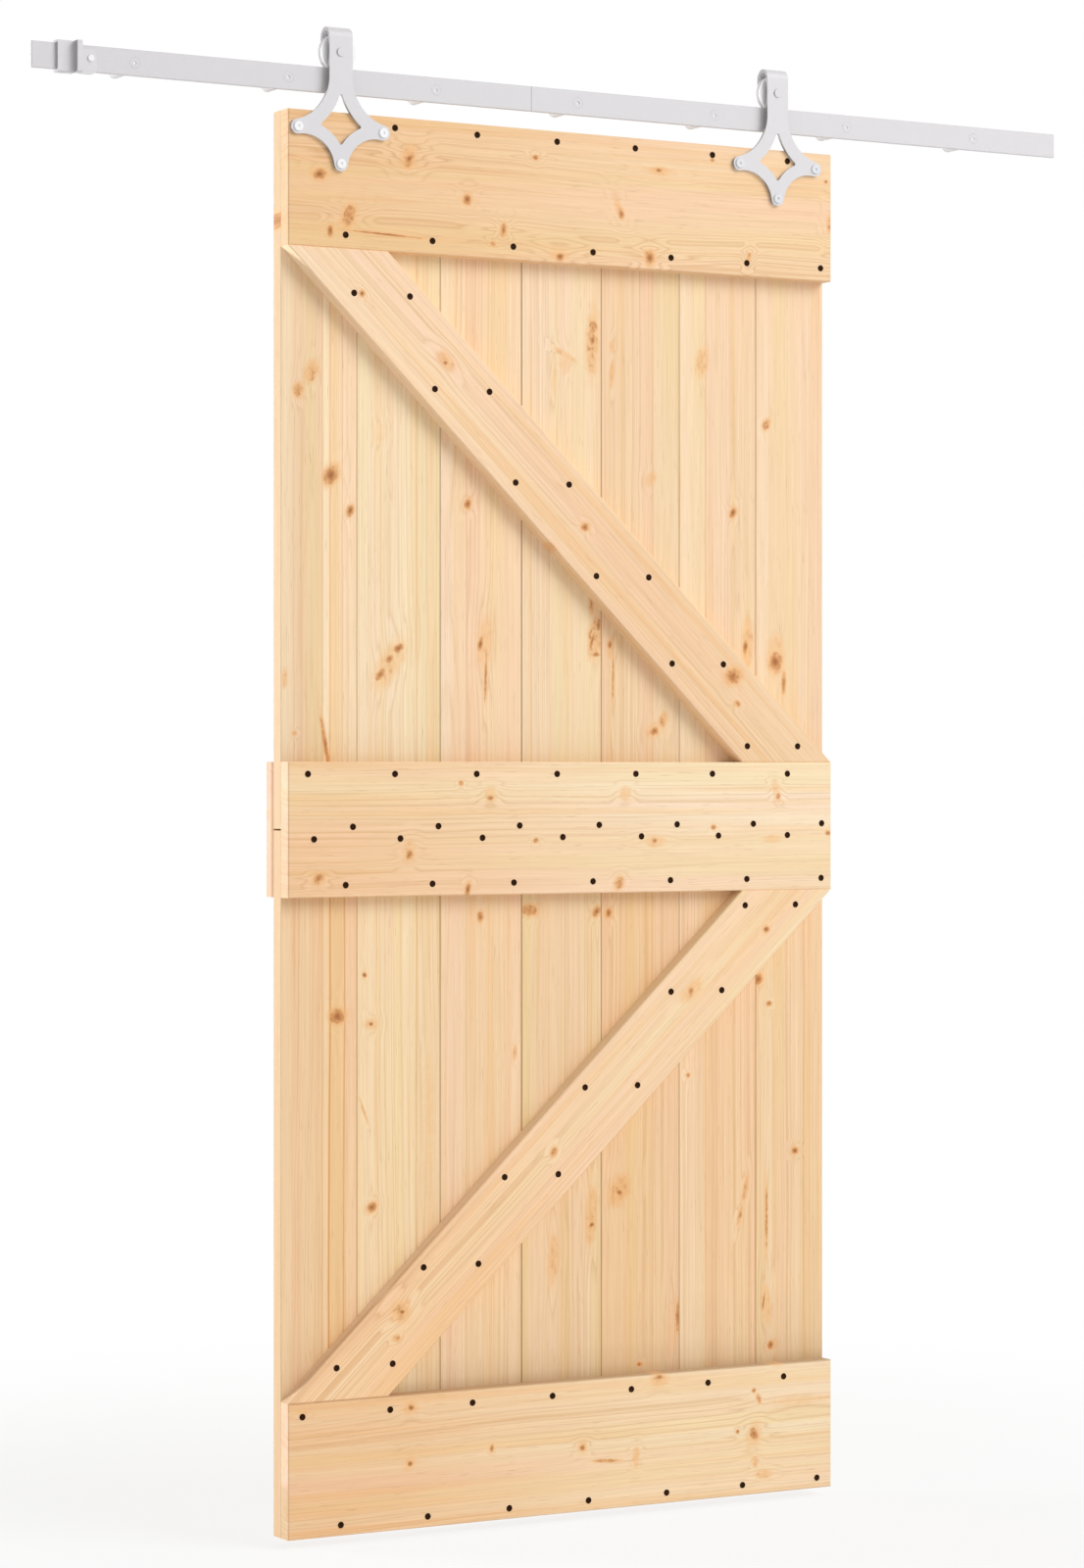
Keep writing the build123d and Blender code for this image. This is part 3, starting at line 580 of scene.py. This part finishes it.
# the wall bolts' heads are painted with the track, with painted light in the socket to lift its shade, and
# their shanks stay plated
wallBoltCoat = {"name": "painted_wall_bolts", "colour": (0.67, 0.655, 0.67), "roughness": 0.42, "grain": 900,
                "plated": (0.62, 0.62, 0.63), "platedFrom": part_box("track_left")[1][1] - 0.5 * mm,
                "socket": (0.96, 0.95, 0.96), "socketFrom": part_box("wall_bolts")[0][1] + 0.4 * mm}


def paintMaterial(paint):
    mat, tree, shader = newMaterial(paint["name"])
    coords = tree.nodes.new("ShaderNodeTexCoord").outputs["Object"]
    cloud = noiseAt(tree, coords, (14, 14, 14), (3, 1, 7), 3)
    shade = rampOf(tree, cloud, ((0.3, (0.965,) * 3), (0.7, (1, 1, 1))))
    colour = mixColour(tree, 1.0, paint["colour"], shade, "MULTIPLY")
    if "edge" in paint:
        # painted shade on the faces that point along the track
        facing = splitVector(tree, tree.nodes.new("ShaderNodeTexCoord").outputs["Normal"])[0]
        edgePaintedShade = remap(tree, mathStep(tree, "ABSOLUTE", facing), 0.6, 0.85)
        colour = mixColour(tree, edgePaintedShade, colour, (paint["edge"],) * 3, "MULTIPLY")
    if "plated" in paint:
        depth = splitVector(tree, coords)[1]
        # painted light: the socket is coloured paler so its shade shows less
        deep = mathStep(tree, "GREATER_THAN", depth, paint["socketFrom"])
        colour = mixColour(tree, deep, colour, paint["socket"])
        bare = mathStep(tree, "GREATER_THAN", depth, paint["platedFrom"])
        colour = mixColour(tree, bare, colour, paint["plated"])
        feed(tree, shader.inputs["Metallic"], bare)
    else:
        shader.inputs["Metallic"].default_value = paint.get("metallic", 0.0)
    feed(tree, shader.inputs["Base Color"], colour)
    feed(tree, shader.inputs["Roughness"],
         remap(tree, cloud, 0.3, 0.7, paint["roughness"] - 0.05, paint["roughness"] + 0.06))
    peel = noiseAt(tree, coords, (paint["grain"],) * 3, (0, 2, 5), 1)
    addBump(tree, shader, peel, 0.05 * mm, 0.5)
    return mat


steelPieces = [
    (trackPaint, ("track_left", "track_right", "wall_spacers")),
    (strapPaint, ("left_hanger_strap", "right_hanger_strap", "left_axle_bolt", "right_axle_bolt")),
    (stopPaint, ("end_stop",)),
    (leftBoltPaint, ("left_hanger_bolts", "end_stop_bolt")),
    (rightBoltPaint, ("right_hanger_bolts",)),
    (wheelPaint, ("left_wheel", "right_wheel")),
    (platedSteel, ("left_hanger_nuts", "right_hanger_nuts", "left_axle_nut", "right_axle_nut")),
    (wallBoltCoat, ("wall_bolts",)),
]
for paint, nodes in steelPieces:
    steelMat = paintMaterial(paint)
    for node in nodes:
        dress(node, steelMat)
print("steel finished")


# dark countersunk screws, places in mm from the door's corner
screwHead = {"radius": 4.9, "rise": 0.5, "seat": 1.0, "rim": 1.0, "crossReach": 2.6, "crossWaist": 0.4,
             "crossDepth": 0.4, "wornEdge": 0.2, "sides": 24, "smoothAngle": 40,
             "colour": (0.024, 0.009, 0.003), "wornPaler": 2.4, "roughness": 0.6, "specular": 0.05}
screwRows = {
    "top_rail_screws": [
        (2084, (176, 315, 453, 591, 730, 868)),
        (1920, (94, 239, 377, 516, 655, 793, 930))],
    "middle_rail_screws": [
        (1124, (32, 176, 314, 453, 592, 730, 868)),
        (1046, (106, 249, 388, 527, 666, 805, 932)),
        (1028, (42, 185, 324, 463, 602, 741, 868)),
        (960, (94, 239, 378, 516, 654, 793, 931))],
    "bottom_rail_screws": [
        (180, (23, 168, 307, 445, 584, 722, 861)),
        (16, (86, 231, 370, 508, 647, 785, 923))],
    "upper_brace_screws": [
        (1835, (108, 201)), (1699, (243, 336)), (1564, (381, 474)),
        (1426, (522, 615)), (1294, (657, 750)), (1167, (794, 887))],
    "lower_brace_screws": [
        (919, (790, 883)), (788, (655, 747)), (646, (502, 595)),
        (516, (362, 455)), (388, (224, 317)), (248, (79, 172))],
}


def pickFaces(mesh, wanted):
    for face in mesh.faces:
        face.select_set(wanted(face))


def makeScrew(head):
    bpy.ops.object.select_all(action="DESELECT")
    depth = (head["rise"] + head["seat"]) * mm
    bpy.ops.mesh.primitive_cylinder_add(
        vertices=head["sides"], radius=head["radius"] * mm, depth=depth, rotation=(math.pi / 2, 0, 0),
        location=(0, depth / 2 - head["rise"] * mm, 0))
    screw = bpy.context.object
    bpy.ops.object.transform_apply(location=True, rotation=True, scale=True)
    bpy.ops.object.mode_set(mode="EDIT")
    bpy.ops.mesh.select_mode(type="FACE")
    mesh = bmesh.from_edit_mesh(screw.data)
    pickFaces(mesh, lambda face: face.normal.y < -0.9)
    bpy.ops.mesh.inset(thickness=head["rim"] * mm)
    bpy.ops.mesh.inset(thickness=(head["radius"] - head["rim"] - head["crossReach"]) * mm)
    # pull the corners between the arms in, so the recess is a cross
    mesh = bmesh.from_edit_mesh(screw.data)
    bottom = [face for face in mesh.faces if face.select][0]
    corners = [v for v in bottom.verts if abs(abs(math.degrees(math.atan2(v.co.z, v.co.x))) % 90 - 45) < 20]
    for v in corners:
        v.co.x *= head["crossWaist"]
        v.co.z *= head["crossWaist"]
    bmesh.update_edit_mesh(screw.data)
    bpy.ops.mesh.extrude_region_move(TRANSFORM_OT_translate={"value": (0, head["crossDepth"] * mm, 0)})
    bpy.ops.object.mode_set(mode="OBJECT")
    bevel = screw.modifiers.new("worn edge", "BEVEL")
    bevel.width = head["wornEdge"] * mm
    bevel.segments = 2
    bevel.limit_method = "ANGLE"
    bpy.ops.object.modifier_apply(modifier=bevel.name)
    bpy.ops.object.shade_smooth_by_angle(angle=math.radians(head["smoothAngle"]))
    return screw


def darkScrewMaterial(head):
    mat, tree, shader = newMaterial("dark_screws")
    coords = tree.nodes.new("ShaderNodeTexCoord").outputs["Object"]
    wear = noiseAt(tree, coords, (380, 380, 380), (1, 4, 2), 3)
    worn = tuple(channel * head["wornPaler"] for channel in head["colour"])
    colour = mixColour(tree, remap(tree, wear, 0.5, 0.7), head["colour"], worn)
    feed(tree, shader.inputs["Base Color"], colour)
    shader.inputs["Roughness"].default_value = head["roughness"]
    shader.inputs["Specular IOR Level"].default_value = head["specular"]
    return mat


masterScrew = makeScrew(screwHead)
masterScrew.data.materials.append(darkScrewMaterial(screwHead))
for name, rows in screwRows.items():
    bpy.ops.object.select_all(action="DESELECT")
    copies = []
    for height, places in rows:
        for place in places:
            copy = masterScrew.copy()
            copy.data = masterScrew.data.copy()
            scene.collection.objects.link(copy)
            copy.location = (doorLeft + place * mm, doorFront, doorFoot + height * mm)
            copy.rotation_euler = (0, math.radians(place * 7 % 90), 0)
            copy.select_set(True)
            copies.append(copy)
    bpy.context.view_layer.objects.active = copies[0]
    bpy.ops.object.join()
    screws = bpy.context.object
    screws.name = name
    bpy.ops.object.transform_apply(location=True, rotation=True, scale=True)
    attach(screws, "door")
bpy.data.objects.remove(masterScrew)
print("screws placed:", len(screwRows), "sets")


# floor, white surroundings and soft light
studio = {"floorGap": 14, "floorSize": 40, "floorColour": (0.86, 0.86, 0.86), "floorRoughness": 0.9,
          "floorGlow": 0.8, "fadeFrom": 0.7, "fadeTo": 2.2, "ambient": 0.46,
          "aim": (0.475, 1.1)}   # m from the door's corner, where the lamps point
bpy.ops.object.select_all(action="DESELECT")
floorHeight = doorFoot - studio["floorGap"] * mm
bpy.ops.mesh.primitive_plane_add(size=studio["floorSize"], location=(0, 0, floorHeight))
floor = bpy.context.object
floor.name = "studio_floor"


def seenDirectly(tree):
    path = tree.nodes.new("ShaderNodeLightPath")
    mirrored = mathStep(tree, "MAXIMUM", path.outputs["Is Glossy Ray"], path.outputs["Is Transmission Ray"])
    return mathStep(tree, "MAXIMUM", path.outputs["Is Camera Ray"], mirrored)


floorMat, floorTree, floorShader = newMaterial("pale_floor")
floorShader.inputs["Base Color"].default_value = (*studio["floorColour"], 1)
floorShader.inputs["Roughness"].default_value = studio["floorRoughness"]
floorShader.inputs["Specular IOR Level"].default_value = 0.0
glow = floorTree.nodes.new("ShaderNodeEmission")
blend = floorTree.nodes.new("ShaderNodeMixShader")
floorSpot = mapCoords(floorTree, floorTree.nodes.new("ShaderNodeTexCoord").outputs["Object"], scale=(1, 1, 0))
away = floorTree.nodes.new("ShaderNodeVectorMath")
away.operation = "LENGTH"
feed(floorTree, away.inputs[0], floorSpot)
fade = remap(floorTree, away.outputs["Value"], studio["fadeFrom"], studio["fadeTo"], studio["floorGlow"], 1.0)
feed(floorTree, blend.inputs[0], mathStep(floorTree, "MULTIPLY", seenDirectly(floorTree), fade))
feed(floorTree, blend.inputs[1], floorShader.outputs[0])
feed(floorTree, blend.inputs[2], glow.outputs[0])
feed(floorTree, floorTree.nodes["Material Output"].inputs[0], blend.outputs[0])
floor.data.materials.append(floorMat)

world = bpy.data.worlds.new("white_surroundings")
scene.world = world
world.use_nodes = True
sky = world.node_tree.nodes["Background"]
sky.inputs["Color"].default_value = (1, 1, 1, 1)
feed(world.node_tree, sky.inputs["Strength"],
     remap(world.node_tree, seenDirectly(world.node_tree), 0, 1, studio["ambient"], 1.0, smooth=False))

target = Vector((doorLeft + studio["aim"][0], doorFront, doorFoot + studio["aim"][1]))
lamps = [
    {"name": "key_from_right", "place": (6.0, -8.0, 5.4), "size": 7.5, "power": 895},
    {"name": "edge_light_from_left", "place": (-7.0, 5.6, -0.8), "size": 2.4, "power": 630},
]
for lamp in lamps:
    light = bpy.data.lights.new(lamp["name"], "AREA")
    light.size = lamp["size"]
    light.energy = lamp["power"]
    holder = bpy.data.objects.new(lamp["name"], light)
    scene.collection.objects.link(holder)
    holder.location = lamp["place"]
    holder.rotation_euler = (target - Vector(lamp["place"])).to_track_quat("-Z", "Y").to_euler()
print("studio lit")


# camera, placed from the door's lower left front corner, frame 1106 x 1600
camera = {"left": 2.668, "front": 5.492, "height": 1.131, "turn": 29.4, "lens": 95.5, "sensor": 36,
          "shift": -0.0094, "farthest": 100}
camData = bpy.data.cameras.new("photo_camera")
camData.sensor_fit = "AUTO"
camData.sensor_width = camera["sensor"]
camData.lens = camera["lens"]
camData.shift_y = camera["shift"]
camData.clip_end = camera["farthest"]
cam = bpy.data.objects.new("photo_camera", camData)
scene.collection.objects.link(cam)
cam.location = (doorLeft - camera["left"], doorFront - camera["front"], doorFoot + camera["height"])
cam.rotation_euler = (math.pi / 2, 0, -math.radians(camera["turn"]))
scene.camera = cam
print("camera set")
